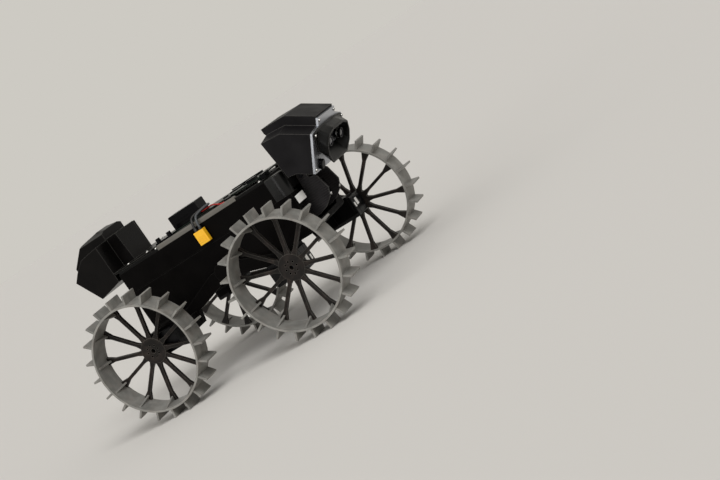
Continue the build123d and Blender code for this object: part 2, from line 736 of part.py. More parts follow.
# Knuckle under the head, between the neck's cheeks.
pin_x, pin_z = at(TILT_X, TILT_Z)
with BuildPart() as knuckle:
    with BuildSketch(upright(0, 0, 0)):
        with Locations((TILT_X, TILT_Z)):
            Circle(KNUCKLE_R)
    extrude(amount=KNUCKLE_HALF, both=True)
    with BuildSketch(upright(0, 0, 0)):
        Polygon(
            (TILT_X - KNUCKLE_R, TILT_Z),
            (TILT_X + KNUCKLE_R, TILT_Z),
            (TILT_X + 10.0, TILT_Z + 16.0),
            (TILT_X + 1.0, TILT_Z + 16.0),
            align=None,
        )
    extrude(amount=KNUCKLE_HALF, both=True)
    with BuildSketch(head_plane):
        Polygon(*SHOULDER_SIDE, align=None)
    extrude(amount=HEAD_HALF, both=True, mode=Mode.SUBTRACT)
    with BuildSketch(upright(0, 0, 0)):
        with Locations((TILT_X, TILT_Z)):
            Circle(PIN_R + PIN_FIT)
    extrude(amount=KNUCKLE_HALF, both=True, mode=Mode.SUBTRACT)
save(knuckle.part, "head_knuckle")

print("axle height", round(AXLE_Z, 3))
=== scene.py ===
"""Dresses a small prototype planetary rover: finishes, fasteners, lenses, labels, cords, light and camera.

Sizes are in millimetres where nothing else is said. The rover faces +X and stands on Z = 0.
"""

import logging
import math
from collections.abc import Callable, Iterable, Sequence
from dataclasses import dataclass
from enum import Enum
from typing import Any

import bmesh
import bpy
from mathutils import Matrix, Vector

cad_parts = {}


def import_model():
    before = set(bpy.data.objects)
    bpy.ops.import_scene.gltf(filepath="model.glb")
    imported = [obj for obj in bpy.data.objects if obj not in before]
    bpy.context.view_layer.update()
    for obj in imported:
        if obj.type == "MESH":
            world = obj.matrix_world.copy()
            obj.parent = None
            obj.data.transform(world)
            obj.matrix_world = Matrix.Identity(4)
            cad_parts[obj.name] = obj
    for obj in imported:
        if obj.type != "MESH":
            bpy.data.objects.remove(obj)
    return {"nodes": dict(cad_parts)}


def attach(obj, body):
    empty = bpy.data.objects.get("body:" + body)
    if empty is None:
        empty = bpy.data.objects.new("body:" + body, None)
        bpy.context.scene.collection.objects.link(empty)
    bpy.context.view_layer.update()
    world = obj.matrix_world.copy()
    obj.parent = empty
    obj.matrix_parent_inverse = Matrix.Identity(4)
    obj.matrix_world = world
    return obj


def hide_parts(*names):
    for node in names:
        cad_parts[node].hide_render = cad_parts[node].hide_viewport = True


Piece = bpy.types.Object
Tree = bpy.types.NodeTree
Socket = bpy.types.NodeSocket
Inputs = dict[str | int, Any]  # values for a node's sockets, or the output sockets that feed them
Triple = tuple[float, float, float]
Pairs = tuple[tuple[float, float], ...]

LOG = logging.getLogger("rover")

MM_PER_M = 1000.0
MID_X = 0.15  # the wheelbase's middle, in the frame
AXLE_Z = 83.743  # the axles' height, in the frame
DECK_TOP = 102.0  # above the axles, as every height is that goes through place()
WHEELBASE = 230.0

WAVE_STEP = 0.314159  # metres from crest to crest of a wave texture at scale 1
SMOOTH_UNDER = 35.0  # degrees between two faces that still shade as one
TOP_EASE = 0.3  # the largest round on a block's top edge
SAME = 1e-6  # metres within which two heights are the same
LEVEL = 0.99  # from this much of its normal along Z, a face is level


# places


def place(x: float, y: float, z: float) -> Vector:
    """A point in metres, from millimetres off the wheelbase's middle and the axles' height."""
    return Vector((MID_X + x, y, AXLE_Z + z)) / MM_PER_M


def seat(point: Vector, normal: Sequence[float]) -> Matrix:
    """Gives the matrix that stands a piece on a surface.

    Args:
        point: Where the piece's foot goes, in metres.
        normal: The surface's outward direction, which the piece's Z follows.

    Returns:
        The matrix to bake into the piece's mesh.
    """
    facing = Vector(normal).to_track_quat("Z", "Y").to_matrix().to_4x4()
    return Matrix.Translation(point) @ facing


@dataclass(frozen=True)
class HeadPlace:
    """The camera head's own axes: y across, u up its front plate, depth out from the shell's front."""

    x: float = 197.3
    z: float = 117.4
    pitch: float = 31.5  # degrees that the plate looks down
    plate: float = 3.0  # its thickness

    @property
    def out(self) -> Vector:
        """Direction out of the front plate."""
        angle = math.radians(self.pitch)
        return Vector((math.cos(angle), 0.0, -math.sin(angle)))

    @property
    def rise(self) -> Vector:
        """Direction up the front plate."""
        angle = math.radians(self.pitch)
        return Vector((math.sin(angle), 0.0, math.cos(angle)))

    def point(self, y: float, u: float, depth: float) -> Vector:
        """A point on or off the front plate, in metres."""
        offset = Vector((0.0, y, 0.0)) + self.rise * u + self.out * depth
        return place(self.x, 0.0, self.z) + offset / MM_PER_M


class Side(Enum):
    """The rover's two sides, as the sign of Y."""

    RIGHT = -1
    LEFT = 1


class End(Enum):
    """The rover's two ends, as the sign of X."""

    FRONT = 1
    REAR = -1


# colour and nodes


def linear(code: str) -> tuple[float, float, float, float]:
    """Turns an sRGB hex colour into linear values with full alpha.

    Args:
        code: The colour, as a hash and six digits.

    Returns:
        Red, green, blue and alpha.
    """
    parts = [int(code[i : i + 2], 16) / 255.0 for i in (1, 3, 5)]
    red, green, blue = (c / 12.92 if c <= 0.04045 else ((c + 0.055) / 1.055) ** 2.4 for c in parts)
    return (red, green, blue, 1.0)


def feed(node: bpy.types.Node, inputs: Inputs) -> None:
    """Gives a node's sockets their values and links.

    Args:
        node: The node.
        inputs: What goes into its sockets.
    """
    for key, value in inputs.items():
        if isinstance(value, Socket):
            node.id_data.links.new(value, node.inputs[key])
        else:
            node.inputs[key].default_value = value


def add_node(tree: Tree, kind: str, inputs: Inputs | None = None, **settings: Any) -> bpy.types.Node:
    """Adds a node with its settings, values and links.

    Args:
        tree: The node tree.
        kind: The node's type, without the ShaderNode prefix.
        inputs: What goes into its sockets.
        **settings: Properties of the node.

    Returns:
        The new node.
    """
    node = tree.nodes.new("ShaderNode" + kind)
    for name, value in settings.items():
        setattr(node, name, value)
    feed(node, inputs or {})
    return node


def bands(pitch_mm: float) -> float:
    """Wave texture scale that repeats every so many millimetres."""
    return WAVE_STEP / (pitch_mm / MM_PER_M)


def grain(size_mm: float) -> float:
    """Noise texture scale whose blobs are about so many millimetres."""
    return MM_PER_M / size_mm


@dataclass(frozen=True)
class Finish:
    """A finish with a plain Principled shader, to which each kind of surface adds its look."""

    name: str
    colour: str
    roughness: float = 0.5
    edge_mm: float = 0.0  # round on the edges that only the shading shows
    specular: float = 0.5

    def material(self) -> bpy.types.Material:
        """Makes the material once, under a name that no CAD slot has.

        Returns:
            The material.
        """
        key = "finish_" + self.name
        made = bpy.data.materials.get(key)
        if made is not None:
            return made
        made = bpy.data.materials.new(key)
        made.use_nodes = True
        tree = made.node_tree
        shader = tree.nodes["Principled BSDF"]
        plain = {"Base Color": linear(self.colour), "Roughness": self.roughness}
        feed(shader, {**plain, "Specular IOR Level": self.specular})
        where = add_node(tree, "TexCoord").outputs["Object"]
        feed(shader, self.look(tree, where))
        return made

    def look(self, tree: Tree, where: Socket) -> Inputs:
        """Adds what this kind of surface shows, which for a plain finish is nothing.

        Args:
            tree: The node tree.
            where: The Object coordinates.

        Returns:
            What feeds the shader.
        """
        return {}

    def soft_edge(self, tree: Tree) -> Inputs:
        """Rounds the edges a little, as on moulded and printed parts.

        Args:
            tree: The node tree.

        Returns:
            What feeds a bump node's normal.
        """
        if self.edge_mm <= 0.0:
            return {}
        edge = add_node(tree, "Bevel", {"Radius": self.edge_mm / MM_PER_M}, samples=4)
        return {"Normal": edge.outputs["Normal"]}


@dataclass(frozen=True)
class PrintedPlastic(Finish):
    """Filament-printed polymer: satin, with layer lines across the print's height and a cloudy sheen."""

    worn: str = "#3a3938"
    layer_mm: float = 1.4  # real layers are 0.2 mm, drawn coarser so that they show
    layers_along: str = "Z"
    lines: float = 0.22
    cloud_mm: float = 26.0
    speck_mm: float = 1.1
    # painted highlight along sharp edges: its colour, strength and bevel radius, and where it starts and is
    # full
    edge_highlight_colour: str = "#6f6d69"
    edge_highlight_strength: float = 0.0
    edge_highlight_mm: float = 0.9
    edge_highlight_starts: float = 0.995  # cosine between the flat normal and the rounded one
    edge_highlight_full: float = 0.86

    def painted_edge_highlights(self, tree: Tree, under: Socket) -> Socket:
        """Lightens a colour along sharp edges: a painted highlight standing in for light caught by the
        edges.

        Args:
            tree: The node tree.
            under: The colour away from the edges.

        Returns:
            The colour with its painted edge highlights.
        """
        if self.edge_highlight_strength <= 0.0:
            return under
        rounded = add_node(tree, "Bevel", {"Radius": self.edge_highlight_mm / MM_PER_M}, samples=6)
        flat = add_node(tree, "NewGeometry")
        normals = {0: rounded.outputs["Normal"], 1: flat.outputs["True Normal"]}
        likeness = add_node(tree, "VectorMath", normals, operation="DOT_PRODUCT")
        span = {"From Min": self.edge_highlight_starts, "From Max": self.edge_highlight_full, "To Max": self.edge_highlight_strength}
        edge = add_node(tree, "MapRange", {"Value": likeness.outputs["Value"], **span})
        mixed = {"Factor": edge.outputs["Result"], "A": under, "B": linear(self.edge_highlight_colour)}
        return add_node(tree, "Mix", mixed, data_type="RGBA").outputs["Result"]

    def look(self, tree: Tree, where: Socket) -> Inputs:
        """Adds layer lines in the bump, a cloudy change of colour and gloss, and painted highlights along
        the edges.

        Args:
            tree: The node tree.
            where: The Object coordinates.

        Returns:
            What feeds the shader.
        """
        wobble = {"Distortion": 0.4, "Detail": 1.0, "Detail Scale": 0.6}
        waves = {"Vector": where, "Scale": bands(self.layer_mm), **wobble}
        layers = add_node(tree, "TexWave", waves, bands_direction=self.layers_along)
        clouds = add_node(tree, "TexNoise", {"Vector": where, "Scale": grain(self.cloud_mm), "Detail": 4.0})
        specks = add_node(tree, "TexNoise", {"Vector": where, "Scale": grain(self.speck_mm), "Detail": 2.0})
        span = {"From Min": 0.35, "From Max": 0.7, "To Max": 0.55}
        tone = add_node(tree, "MapRange", {"Value": clouds.outputs["Fac"], **span})
        terms = {0: layers.outputs["Fac"], 1: self.lines / 2, 2: tone.outputs["Result"]}
        ribbed = add_node(tree, "Math", terms, operation="MULTIPLY_ADD")
        mixed = {"Factor": ribbed.outputs["Value"], "A": linear(self.colour), "B": linear(self.worn)}
        colour = add_node(tree, "Mix", mixed, data_type="RGBA")
        sheen = {"To Min": self.roughness - 0.07, "To Max": self.roughness + 0.09}
        span = {"From Min": 0.3, "From Max": 0.7, **sheen}
        gloss = add_node(tree, "MapRange", {"Value": clouds.outputs["Fac"], **span})
        coarse = {"Height": layers.outputs["Fac"], "Strength": self.lines, "Distance": 0.0003}
        ridges = add_node(tree, "Bump", {**coarse, **self.soft_edge(tree)})
        fine = {"Height": specks.outputs["Fac"], "Strength": 0.1, "Distance": 0.0002}
        skin = add_node(tree, "Bump", {**fine, "Normal": ridges.outputs["Normal"]})
        return {
            "Base Color": self.painted_edge_highlights(tree, colour.outputs["Result"]),
            "Roughness": gloss.outputs["Result"],
            "Normal": skin.outputs["Normal"],
        }


@dataclass(frozen=True)
class SandyPrint(PrintedPlastic):
    """Printed wheel polymer with fine sand caught on it: rusty specks and dull patches."""

    sand: str = "#7d6a60"
    amount: float = 0.5
    patch_mm: float = 13.0
    grit_mm: float = 0.9

    def look(self, tree: Tree, where: Socket) -> Inputs:
        """Adds the print's own look, with sand over its colour.

        Args:
            tree: The node tree.
            where: The Object coordinates.

        Returns:
            What feeds the shader.
        """
        clean = super().look(tree, where)
        patches = add_node(tree, "TexNoise", {"Vector": where, "Scale": grain(self.patch_mm), "Detail": 5.0})
        grit = add_node(tree, "TexNoise", {"Vector": where, "Scale": grain(self.grit_mm), "Detail": 2.0})
        span = {"From Min": 0.45, "From Max": 0.75, "To Max": self.amount}
        layer = add_node(tree, "MapRange", {"Value": patches.outputs["Fac"], **span})
        span = {"From Min": 0.5, "From Max": 0.62, "To Min": 0.35}
        dots = add_node(tree, "MapRange", {"Value": grit.outputs["Fac"], **span})
        terms = {0: layer.outputs["Result"], 1: dots.outputs["Result"]}
        cover = add_node(tree, "Math", terms, operation="MULTIPLY")
        mixed = {"Factor": cover.outputs["Value"], "A": clean["Base Color"], "B": linear(self.sand)}
        colour = add_node(tree, "Mix", mixed, data_type="RGBA")
        return {**clean, "Base Color": colour.outputs["Result"]}


@dataclass(frozen=True)
class MouldedPlastic(Finish):
    """Injection-moulded ABS or nylon: a fine spark-eroded grain and small rounded edges."""

    tint: str = "#2e2e30"
    grain_mm: float = 0.8  # real grain is 0.1 mm, drawn coarser so that it shows
    depth: float = 0.12
    drift_mm: float = 18.0

    def look(self, tree: Tree, where: Socket) -> Inputs:
        """Adds fine grain in the bump and a slow drift of colour.

        Args:
            tree: The node tree.
            where: The Object coordinates.

        Returns:
            What feeds the shader.
        """
        pits = add_node(tree, "TexNoise", {"Vector": where, "Scale": grain(self.grain_mm), "Detail": 3.0})
        drift = add_node(tree, "TexNoise", {"Vector": where, "Scale": grain(self.drift_mm), "Detail": 2.0})
        mixed = {"Factor": drift.outputs["Fac"], "A": linear(self.colour), "B": linear(self.tint)}
        colour = add_node(tree, "Mix", mixed, data_type="RGBA")
        fine = {"Height": pits.outputs["Fac"], "Strength": self.depth, "Distance": 0.0002}
        bump = add_node(tree, "Bump", {**fine, **self.soft_edge(tree)})
        return {"Base Color": colour.outputs["Result"], "Normal": bump.outputs["Normal"]}


@dataclass(frozen=True)
class RolledSheet(Finish):
    """Aluminium sheet as rolled: long faint grain across it and a satin gloss."""

    bright: str = "#d8d6d2"
    streaks_per_m: Triple = (900.0, 22.0, 900.0)
    smear_mm: float = 30.0

    def look(self, tree: Tree, where: Socket) -> Inputs:
        """Adds metal with stretched grain in its colour and bump, and smears in its gloss.

        Args:
            tree: The node tree.
            where: The Object coordinates.

        Returns:
            What feeds the shader.
        """
        long = add_node(tree, "Mapping", {"Vector": where, "Scale": self.streaks_per_m})
        streaks = add_node(tree, "TexNoise", {"Vector": long.outputs["Vector"], "Scale": 1.0, "Detail": 3.0})
        smears = add_node(tree, "TexNoise", {"Vector": where, "Scale": grain(self.smear_mm), "Detail": 4.0})
        mixed = {"Factor": streaks.outputs["Fac"], "A": linear(self.colour), "B": linear(self.bright)}
        colour = add_node(tree, "Mix", mixed, data_type="RGBA")
        sheen = {"To Min": self.roughness - 0.08, "To Max": self.roughness + 0.12}
        gloss = add_node(tree, "MapRange", {"Value": smears.outputs["Fac"], **sheen})
        fine = {"Height": streaks.outputs["Fac"], "Strength": 0.06, "Distance": 0.0002}
        bump = add_node(tree, "Bump", {**fine, **self.soft_edge(tree)})
        return {
            "Metallic": 1.0,
            "Base Color": colour.outputs["Result"],
            "Roughness": gloss.outputs["Result"],
            "Normal": bump.outputs["Normal"],
        }


@dataclass(frozen=True)
class TurnedMetal(Finish):
    """Small turned metal parts, plated or anodised: sharp gloss, a little mottled."""

    dark: str = "#77777a"
    mottle_mm: float = 0.9

    def look(self, tree: Tree, where: Socket) -> Inputs:
        """Adds metal with a little mottling in its colour and gloss.

        Args:
            tree: The node tree.
            where: The Object coordinates.

        Returns:
            What feeds the shader.
        """
        mottle = add_node(tree, "TexNoise", {"Vector": where, "Scale": grain(self.mottle_mm), "Detail": 3.0})
        mixed = {"Factor": mottle.outputs["Fac"], "A": linear(self.colour), "B": linear(self.dark)}
        colour = add_node(tree, "Mix", mixed, data_type="RGBA")
        sheen = {"To Min": self.roughness, "To Max": self.roughness + 0.15}
        gloss = add_node(tree, "MapRange", {"Value": mottle.outputs["Fac"], **sheen})
        metal = {"Metallic": 1.0, "Base Color": colour.outputs["Result"]}
        return {**metal, "Roughness": gloss.outputs["Result"]}


@dataclass(frozen=True)
class CoatedGlass(Finish):
    """Lens glass with a dim violet coating over a black bore."""

    coating: str = "#1a1626"
    drift_mm: float = 4.0
    ior: float = 1.52  # crown glass

    def look(self, tree: Tree, where: Socket) -> Inputs:
        """Adds clear gloss over a dark depth that drifts a little.

        Args:
            tree: The node tree.
            where: The Object coordinates.

        Returns:
            What feeds the shader.
        """
        drift = add_node(tree, "TexNoise", {"Vector": where, "Scale": grain(self.drift_mm), "Detail": 1.0})
        mixed = {"Factor": drift.outputs["Fac"], "A": linear(self.colour), "B": linear(self.coating)}
        colour = add_node(tree, "Mix", mixed, data_type="RGBA")
        coat = {"IOR": self.ior, "Coat Weight": 1.0, "Coat Roughness": 0.02}
        return {**coat, "Base Color": colour.outputs["Result"]}


@dataclass(frozen=True)
class CircuitBoard(Finish):
    """Fibreglass board under solder mask: satin, with copper runs that show as slightly paler lines."""

    trace: str = "#24372c"
    run_mm: float = 3.0  # real runs are 0.5 mm apart, drawn coarser so that they show
    patch_mm: float = 16.0

    def look(self, tree: Tree, where: Socket) -> Inputs:
        """Adds straight copper runs, lengthwise in some patches and crosswise in others.

        Args:
            tree: The node tree.
            where: The Object coordinates.

        Returns:
            What feeds the shader.
        """
        cells = {"Vector": where, "Scale": grain(self.patch_mm), "Randomness": 0.8}
        patches = add_node(tree, "TexVoronoi", cells, distance="CHEBYCHEV")
        split = add_node(tree, "SeparateColor", {"Color": patches.outputs["Color"]})
        crosswise = add_node(tree, "Math", {0: split.outputs["Red"], 1: 0.5}, operation="GREATER_THAN")
        waves = {"Vector": where, "Scale": bands(self.run_mm)}
        across, along = (add_node(tree, "TexWave", waves, bands_direction=axis) for axis in ("X", "Y"))
        mixed = {"Factor": crosswise.outputs["Value"], "A": along.outputs["Fac"], "B": across.outputs["Fac"]}
        lines = add_node(tree, "Mix", mixed, data_type="FLOAT")
        span = {"From Min": 0.7, "From Max": 0.85}
        runs = add_node(tree, "MapRange", {"Value": lines.outputs["Result"], **span})
        mixed = {"Factor": runs.outputs["Result"], "A": linear(self.colour), "B": linear(self.trace)}
        colour = add_node(tree, "Mix", mixed, data_type="RGBA")
        fine = {"Height": runs.outputs["Result"], "Strength": 0.1, "Distance": 0.0001}
        bump = add_node(tree, "Bump", fine)
        return {"Base Color": colour.outputs["Result"], "Normal": bump.outputs["Normal"]}


# Filament-printed black polymer: nearly matt, with layers and painted edge highlights that barely show.
BLACK_PRINT = PrintedPlastic(
    "black_print", "#050404", roughness=0.4, edge_mm=0.7, specular=0.04, worn="#0c0a09", edge_highlight_strength=0.1
)

# Finer black print on the tail: smoother, with grey painted highlights along its edges.
TAIL_PRINT = PrintedPlastic(
    "tail_print", "#080707", roughness=0.3, edge_mm=0.8, specular=0.08, worn="#12100f", lines=0.12, edge_highlight_strength=0.45
)

# Charcoal print on the head, laid front to back: matt, with thin pale painted highlights along its steps.
HEAD_PRINT = PrintedPlastic(
    "head_print",
    "#161516",
    roughness=0.42,
    edge_mm=0.9,
    specular=0.04,
    worn="#262526",
    layers_along="X",
    edge_highlight_strength=0.7,
)

# Smooth black moulding of the lens hood: edges so round that its facets run together, with painted
# highlights along its sharp edges.
HOOD_PRINT = PrintedPlastic(
    "hood_print", "#0a0a0a", roughness=0.3, edge_mm=5.0, specular=0.13, worn="#141413", lines=0.05, edge_highlight_strength=0.5
)

# Smooth black print of the corner columns: glossy enough for a bright strip down each, with painted
# highlights along the edges.
COLUMN_PRINT = PrintedPlastic(
    "column_print", "#060606", roughness=0.3, edge_mm=0.7, specular=0.32, worn="#0f0e0e", lines=0.05, edge_highlight_strength=0.4
)

# Coarse charcoal print of the neck: its layers show as fine ribs, and its edges carry painted highlights.
NECK_PRINT = PrintedPlastic(
    "neck_print",
    "#211f20",
    roughness=0.5,
    edge_mm=0.7,
    specular=0.14,
    worn="#373536",
    layer_mm=3.0,
    lines=0.6,
    edge_highlight_strength=0.6,
)

# Grey print of the rims, laid along the axle: pale and clouded, dusted with rusty sand, with faint painted
# highlights along the edges.
WHEEL_PRINT = SandyPrint(
    "wheel_print",
    "#6f6e6a",
    roughness=0.45,
    edge_mm=0.4,
    specular=0.4,
    worn="#9d9b95",
    layer_mm=3.0,
    layers_along="Y",
    lines=0.35,
    cloud_mm=12.0,
    edge_highlight_colour="#b4b1aa",
    edge_highlight_strength=0.2,
    amount=0.4,
)

# Brown-black print of the spokes: pale painted highlights along the edges, with a little sand.
SPOKE_PRINT = SandyPrint(
    "spoke_print",
    "#161412",
    roughness=0.5,
    edge_mm=0.5,
    specular=0.14,
    worn="#262220",
    layers_along="Y",
    amount=0.2,
    edge_highlight_colour="#77726b",
    edge_highlight_strength=0.55,
)

# Printed black deck: matt, with layers that run across it.
DECK_PRINT = PrintedPlastic(
    "deck_print", "#0d0d0c", roughness=0.5, edge_mm=0.3, specular=0.08, worn="#181717", layers_along="Y"
)

# Moulded ABS of the servos and, glossier, of the deck's box and connectors: even satin black.
SERVO_CASE = MouldedPlastic(
    "servo_case_abs", "#060607", roughness=0.3, edge_mm=0.5, specular=0.16, tint="#0c0c0e"
)
BOX_ABS = MouldedPlastic("box_abs", "#050506", roughness=0.22, edge_mm=0.5, specular=0.08, tint="#0a0a0c")

# Vinyl of the edge ducts: warm grey and dusty, with a soft grain.
DUCT_VINYL = MouldedPlastic(
    "duct_vinyl", "#6c6963", roughness=0.42, edge_mm=0.5, tint="#56524b", depth=0.2
)

# Rolled aluminium of the face plate: pale satin grey with a long grain.
HEAD_SHEET = RolledSheet("head_sheet_aluminium", "#a9acb3", roughness=0.34, edge_mm=0.5, bright="#bfc2c8")

# Nickel-plated steel of screws and lens rings: small bright points.
SCREW_STEEL = TurnedMetal("screw_nickel", "#e4e3e0", roughness=0.2, dark="#a8a7a5")

# Black anodised aluminium of barrels and dark screws: a thin sharp sheen on black.
BARREL_METAL = TurnedMetal("barrel_black_anodised", "#1c1c1f", roughness=0.3, dark="#2a2a2e")

# Coated lens glass: clear reflections over a near-black violet.
LENS_GLASS = CoatedGlass("lens_glass", "#06070c", roughness=0.04)

# Dark solder mask on fibreglass: green-black with fine paler runs.
BOARD_MASK = CircuitBoard("board_solder_mask", "#0d120f", roughness=0.35, specular=0.12, trace="#17221b")

# Moulded nylon of the plug: saturated yellow with a soft gloss.
PLUG_NYLON = MouldedPlastic(
    "plug_nylon", "#ffb710", roughness=0.33, edge_mm=0.5, tint="#ffc832", depth=0.1
)

# Polyester film of the blank labels: clean even white.
LABEL_FILM = MouldedPlastic("label_film", "#f4f3f0", roughness=0.4, tint="#e9e8e4", depth=0.08)

# Extruded silicone of the wires: soft gloss on one even colour each.
WIRE_BLACK = MouldedPlastic("wire_black_silicone", "#121213", roughness=0.38, tint="#1d1d1f")
WIRE_GREY = MouldedPlastic("wire_grey_silicone", "#3d4043", roughness=0.38, tint="#4a4d50")
WIRE_RED = MouldedPlastic("wire_red_silicone", "#a5140d", roughness=0.36, tint="#b7201a")


# bench work


class Pick(Enum):
    """What a selection in edit mode is made of, with its name in the mesh."""

    FACE = "faces"
    EDGE = "edges"


def clear_bench() -> None:
    """Leaves edit mode and deselects everything."""
    if bpy.context.mode != "OBJECT":
        bpy.ops.object.mode_set(mode="OBJECT")
    bpy.ops.object.select_all(action="DESELECT")


def take(pieces: Sequence[Piece]) -> None:
    """Selects just these pieces, in object mode, with the first as the active one.

    Args:
        pieces: One piece or more.
    """
    clear_bench()
    for piece in pieces:
        piece.select_set(True)
    bpy.context.view_layer.objects.active = pieces[0]


def open_mesh(piece: Piece) -> None:
    """Takes one piece into edit mode, with all of its mesh selected.

    Args:
        piece: The piece.
    """
    take([piece])
    bpy.ops.object.mode_set(mode="EDIT")
    bpy.ops.mesh.select_mode(type="FACE")
    bpy.ops.mesh.select_all(action="SELECT")


def pick(piece: Piece, kind: Pick, wanted: Callable[[Any], bool]) -> None:
    """Selects just the faces or edges that pass a test, on the piece being edited.

    Args:
        piece: The piece in edit mode.
        kind: Whether faces or edges are picked.
        wanted: The test, given one face or edge.
    """
    bpy.ops.mesh.select_all(action="DESELECT")
    bpy.ops.mesh.select_mode(type=kind.name)
    mesh = bmesh.from_edit_mesh(piece.data)
    for element in getattr(mesh, kind.value):
        element.select_set(bool(wanted(element)))
    bmesh.update_edit_mesh(piece.data)


def new_block(
    name: str, size_mm: Sequence[float], round_mm: float = 0.0, centre: Sequence[float] = (0, 0, 0)
) -> Piece:
    """Models a block that stands on Z = 0 with its upright edges rounded and its top edge eased.

    Args:
        name: The piece's name.
        size_mm: Length, width and height.
        round_mm: Radius of the upright edges.
        centre: Where the middle of its foot goes, in millimetres.

    Returns:
        The piece, in object mode.
    """
    clear_bench()
    length, width, height = (value / MM_PER_M for value in size_mm)
    bpy.ops.mesh.primitive_cube_add(size=1.0, location=(0, 0, 0))
    block = bpy.context.active_object
    block.name = name
    open_mesh(block)
    bpy.ops.transform.resize(value=(length, width, height))
    shift = Vector(centre) / MM_PER_M + Vector((0, 0, height / 2))
    bpy.ops.transform.translate(value=shift)
    if round_mm > 0:
        pick(block, Pick.EDGE, lambda e: abs((e.verts[0].co - e.verts[1].co).z) > height / 2)
        bpy.ops.mesh.bevel(offset=round_mm / MM_PER_M, segments=4, affect="EDGES")
        top = shift.z + height / 2
        pick(block, Pick.EDGE, lambda e: all(abs(v.co.z - top) < SAME for v in e.verts))
        bpy.ops.mesh.bevel(offset=min(round_mm, TOP_EASE) / MM_PER_M, segments=2, affect="EDGES")
    bpy.ops.object.mode_set(mode="OBJECT")
    return block


def sink_top(block: Piece, rim_mm: float, depth_mm: float) -> None:
    """Sinks a block's flat top inside a narrow rim.

    Args:
        block: The block, in object mode.
        rim_mm: Width of the rim that stays up.
        depth_mm: How far the top sinks.
    """
    open_mesh(block)
    pick(block, Pick.FACE, lambda f: f.normal.z > LEVEL)
    bpy.ops.mesh.inset(thickness=rim_mm / MM_PER_M, depth=-depth_mm / MM_PER_M)
    bpy.ops.object.mode_set(mode="OBJECT")


def turn_profile(name: str, profile_mm: Sequence[tuple[float, float]], segments: int) -> Piece:
    """Models a turned piece by extruding a disc's face along a profile.

    Args:
        name: The piece's name.
        profile_mm: Radius and height of each ring, from the foot on; the last ring is capped.
        segments: How many sides the circle has.

    Returns:
        The piece, in object mode, its axis along Z.
    """
    clear_bench()
    radius, height = profile_mm[0]
    bpy.ops.mesh.primitive_circle_add(
        vertices=segments,
        radius=radius / MM_PER_M,
        fill_type="NGON",
        location=(0, 0, height / MM_PER_M),
    )
    piece = bpy.context.active_object
    piece.name = name
    bpy.ops.object.transform_apply(location=True, rotation=True, scale=True)
    open_mesh(piece)
    for next_radius, next_height in profile_mm[1:]:
        step = (0, 0, (next_height - height) / MM_PER_M)
        bpy.ops.mesh.extrude_region_move(TRANSFORM_OT_translate={"value": step})
        factor = next_radius / radius
        middle = (0, 0, next_height / MM_PER_M)
        bpy.ops.transform.resize(value=(factor, factor, 1.0), center_override=middle)
        radius, height = next_radius, next_height
    bpy.ops.mesh.select_all(action="SELECT")
    bpy.ops.mesh.normals_make_consistent(inside=False)
    take([piece])
    bpy.ops.object.shade_smooth_by_angle(angle=math.radians(SMOOTH_UNDER))
    return piece


def bake_place(piece: Piece, matrix: Matrix) -> None:
    """Moves a piece's mesh by a matrix, and leaves its object at the origin."""
    piece.data.transform(matrix)
    piece.matrix_world = Matrix.Identity(4)


def joined(name: str, parts: Sequence[Piece]) -> Piece:
    """Joins pieces into one under a name.

    Args:
        name: The joined piece's name.
        parts: The pieces, of which the first takes in the others.

    Returns:
        The joined piece.
    """
    take(parts)
    if len(parts) > 1:
        bpy.ops.object.join()
    whole = bpy.context.active_object
    whole.name = name
    whole.data.name = name
    return whole


def copies_at(master: Piece, name: str, seats: Iterable[Matrix]) -> Piece:
    """Copies a modelled piece to each seat, joins the copies and removes the model.

    Args:
        master: The piece as modelled at the origin.
        name: The joined piece's name.
        seats: The matrix of each copy.

    Returns:
        The joined piece.
    """
    made = []
    for matrix in seats:
        copy = master.copy()
        copy.data = master.data.copy()
        bpy.context.collection.objects.link(copy)
        bake_place(copy, matrix)
        made.append(copy)
    bpy.data.objects.remove(master, do_unlink=True)
    return joined(name, made)


def hand_over(piece: Piece, finish: Finish, body: str) -> Piece:
    """Gives a piece its material, its CAD body and its material slot, and reports it.

    Args:
        piece: The finished piece, at the origin.
        finish: Its finish.
        body: The CAD body that it rides on.

    Returns:
        The same piece.
    """
    piece.data.materials.clear()
    piece.data.materials.append(finish.material())
    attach(piece, body)
    LOG.info("made %s on %s", piece.name, body)
    return piece


# small parts

# radius and height of each ring of a screw's dome, as shares of the head's own
DOME: Pairs = ((0.98, 0.0), (1.0, 0.45), (0.86, 0.82), (0.6, 1.0))


@dataclass(frozen=True)
class ButtonScrew:
    """A socket screw with a low domed head."""

    radius: float
    height: float
    socket: float

    def set_in(self, name: str, seats: Sequence[Matrix], body: str, finish: Finish = SCREW_STEEL) -> None:
        """Models the head once and sets a copy in each seat.

        Args:
            name: The joined piece's name.
            seats: The seats, with Z along each screw's head.
            body: The CAD body that they ride on.
            finish: Their finish.
        """
        dome = [(self.radius * wide, self.height * high) for wide, high in DOME]
        floor, tip = self.height * 0.35, self.height * 0.25
        socket = [(self.socket, self.height), (self.socket, floor), (0.05, tip)]
        master = turn_profile(name, dome + socket, segments=20)
        hand_over(copies_at(master, name, seats), finish, body)


@dataclass(frozen=True)
class BlankLabel:
    """A plain white film label with rounded corners."""

    length: float
    width: float
    thickness: float = 0.15
    corner: float = 0.7

    def model(self, name: str, seat_at: Matrix) -> Piece:
        """Models the label on its seat.

        Args:
            name: The piece's name.
            seat_at: The matrix of its seat.

        Returns:
            The label.
        """
        label = new_block(name, (self.length, self.width, self.thickness), self.corner)
        bake_place(label, seat_at)
        return label


# the rover's CAD nodes

